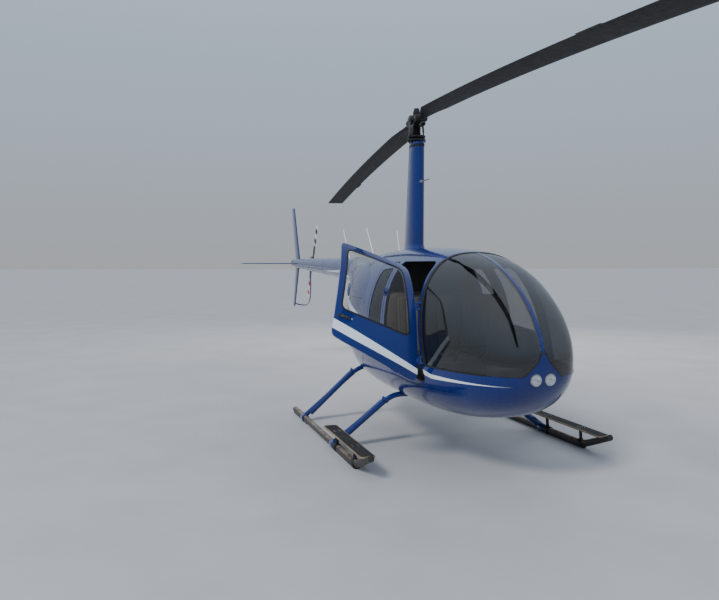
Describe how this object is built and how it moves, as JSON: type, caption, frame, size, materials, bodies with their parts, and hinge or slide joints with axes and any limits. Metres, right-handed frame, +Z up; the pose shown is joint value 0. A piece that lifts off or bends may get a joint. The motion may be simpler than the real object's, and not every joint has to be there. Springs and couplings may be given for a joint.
{
  "type": "four-seat light helicopter",
  "caption": "Light helicopter on skids with a bubble cabin, hinged doors, a tall mast fairing, a two-blade rotor that turns and a geared tail rotor.",
  "frame": {"origin": "middle of the whole model's footprint, on the ground, with the starboard front door open as stored", "axes": "+Z up, -Y towards the nose, +X to port"},
  "size_m": [2.4718, 11.3338, 3.28],
  "materials": {
    "paint": "gloss royal blue with a pale stripe",
    "glazing": "smoke tinted acrylic",
    "lamp": "polished reflector",
    "trim": "matte grey",
    "upholstery": "dark grey leather",
    "dark_plastic": "matte black",
    "dark_metal": "satin black",
    "bare_metal": "satin",
    "blade_paint": "matte near black, pale bands on the tail blades",
    "skid_paint": "worn dark paint"
  },
  "bodies": {
    "airframe": {"cabin_tub": "paint", "cabin_floor": "trim", "cabin_roof": "paint", "windshield_hoop": "paint", "rear_hoop": "paint", "b_pillar_left": "paint", "b_pillar_right": "paint", "windshield_left": "glazing", "windshield_right": "glazing", "windshield_bow": "paint", "landing_light_left": "lamp", "landing_light_right": "lamp", "firewall": "bare_metal", "seat_base_front": "trim", "seat_base_rear": "trim", "cushion_front_left": "upholstery", "cushion_front_right": "upholstery", "cushion_rear": "upholstery", "backrest_front_left": "upholstery", "backrest_front_right": "upholstery", "backrest_rear": "upholstery", "instrument_console": "dark_plastic", "cyclic_bar": "dark_metal", "engine_cowling": "paint", "engine_frame": "dark_metal", "engine_block": "dark_metal", "fan_scroll": "bare_metal", "exhaust": "dark_metal", "tail_boom": "paint", "tail_gearbox": "bare_metal", "upper_fin": "paint", "lower_fin": "paint", "stabilizer": "paint", "tail_rotor_guard": "bare_metal", "antenna_front": "dark_plastic", "antenna_middle": "dark_plastic", "antenna_rear": "dark_plastic", "mast_fairing": "paint", "swashplate": "dark_metal", "skid_left": "skid_paint", "skid_right": "skid_paint", "step_left": "dark_metal", "step_right": "dark_metal", "cross_tube_front": "paint", "cross_tube_rear": "paint"},
    "main_rotor": {"main_rotor_hub": "dark_metal", "main_blade_front": "blade_paint", "main_blade_rear": "blade_paint"},
    "tail_rotor": {"tail_rotor_hub": "dark_metal", "tail_blade_upper": "blade_paint", "tail_blade_lower": "blade_paint"},
    "front_door_left": {"door_front_left": "paint", "window_front_left": "glazing"},
    "front_door_right": {"door_front_right": "paint", "window_front_right": "glazing"},
    "rear_door_left": {"door_rear_left": "paint", "window_rear_left": "glazing"},
    "rear_door_right": {"door_rear_right": "paint", "window_rear_right": "glazing"}
  },
  "joints": [
    {"name": "main_rotor_spin", "type": "hinge", "parent": "airframe", "child": "main_rotor", "pos_m": [0.0849, -0.65244, 3.153], "axis": [0, 0, 1], "continuous": true},
    {"name": "tail_rotor_spin", "type": "hinge", "parent": "airframe", "child": "tail_rotor", "pos_m": [0.4149, 5.24056, 1.712], "axis": [1, 0, 0], "continuous": true},
    {"name": "front_door_left_hinge", "type": "hinge", "parent": "airframe", "child": "front_door_left", "pos_m": [0.70109, -2.23684, 0.9], "axis": [0.069, -0.2917, -0.954], "range_deg": [0, 86]},
    {"name": "front_door_right_hinge", "type": "hinge", "parent": "airframe", "child": "front_door_right", "pos_m": [-0.5313, -2.23684, 0.9], "axis": [0.069, 0.2917, 0.954], "range_deg": [-86, 0]},
    {"name": "rear_door_left_hinge", "type": "hinge", "parent": "airframe", "child": "rear_door_left", "pos_m": [0.74301, -1.39333, 1.08], "axis": [0.1688, -0.1353, -0.9763], "range_deg": [0, 90]},
    {"name": "rear_door_right_hinge", "type": "hinge", "parent": "airframe", "child": "rear_door_right", "pos_m": [-0.57322, -1.39333, 1.08], "axis": [0.1688, 0.1353, 0.9763], "range_deg": [0, 90]}
  ],
  "couplings": [
    {"joint": "tail_rotor_spin", "follows": "main_rotor_spin", "ratio": -5.95}
  ]
}
